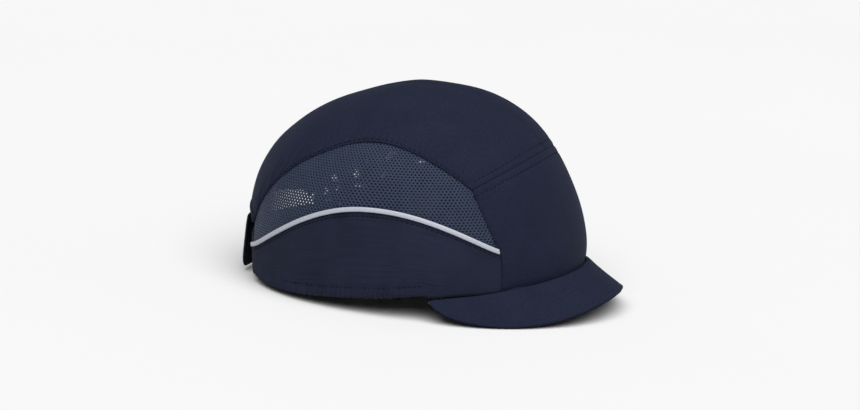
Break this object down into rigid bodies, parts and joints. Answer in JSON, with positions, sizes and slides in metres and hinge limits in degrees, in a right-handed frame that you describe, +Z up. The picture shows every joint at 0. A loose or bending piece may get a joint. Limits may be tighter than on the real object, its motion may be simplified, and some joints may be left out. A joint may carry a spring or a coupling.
{
  "type": "bump cap",
  "caption": "Baseball-style bump cap with a micro peak, perforated mesh sides, reflective piping, a vented hard shell inside and an adjustable rear strap.",
  "frame": {"origin": "on the table under the middle of the cap's bounding box, with the cap standing on its peak and its rear hem", "axes": "+Z up, -Y towards the peak, +X towards the wearer's left"},
  "size_m": [0.174, 0.2412, 0.1285],
  "materials": {
    "navy_fabric": "tightly woven polyester-cotton, matt with a faint sheen",
    "navy_side_fabric": "tightly woven polyester-cotton, matt, darker where it faces away from light",
    "navy_mesh": "perforated warp-knit polyester mesh, slight sheen",
    "reflective_piping": "silver-grey reflective piping tape over a cord",
    "seam_tape": "woven bias tape, matt",
    "black_elastic": "knitted elastic tape, matt",
    "peak_board_plastic": "flexible polyethylene board",
    "black_towelling": "looped towelling over thin foam",
    "black_shell": "injection-moulded shell plastic, fine satin texture",
    "black_foam": "closed-cell foam, matt",
    "navy_webbing": "folded and stitched strap fabric",
    "hook_and_loop": "hook-and-loop tape",
    "blank_label": "woven satin label, blank"
  },
  "bodies": {
    "root": {"front_panel": "navy_fabric", "crown_panel_left": "navy_fabric", "crown_panel_right": "navy_fabric", "mesh_panel_left": "navy_mesh", "mesh_panel_right": "navy_mesh", "side_panel_left": "navy_side_fabric", "side_panel_right": "navy_side_fabric", "piping_left": "reflective_piping", "piping_right": "reflective_piping", "front_seam_tape": "seam_tape", "centre_seam_tape": "seam_tape", "rear_arch_binding": "seam_tape", "hem_elastic_left": "black_elastic", "hem_elastic_right": "black_elastic", "peak_top_cover": "navy_fabric", "peak_board": "peak_board_plastic", "peak_under_cover": "navy_fabric", "sweatband": "black_towelling", "hard_shell": "black_shell", "crown_pad": "black_foam", "front_pad": "black_foam", "rear_pad": "black_foam", "side_pad_left": "black_foam", "side_pad_right": "black_foam", "loop_strap": "navy_webbing", "loop_patch": "hook_and_loop", "size_label": "blank_label"},
    "adjuster": {"adjuster_strap": "navy_webbing"},
    "tab": {"pull_tab": "navy_webbing", "hook_patch": "hook_and_loop"}
  },
  "joints": [
    {"name": "strap_slide", "type": "hinge", "parent": "root", "child": "adjuster", "pos_m": [-0.002, 0.04014, 0.02039], "axis": [0, 0.0645, 0.9979], "range_deg": [-18, 9.5]},
    {"name": "tab_peel", "type": "hinge", "parent": "adjuster", "child": "tab", "pos_m": [-0.00615, 0.11927, 0.01528], "axis": [0, -0.0645, -0.9979], "range_deg": [0, 110]}
  ]
}
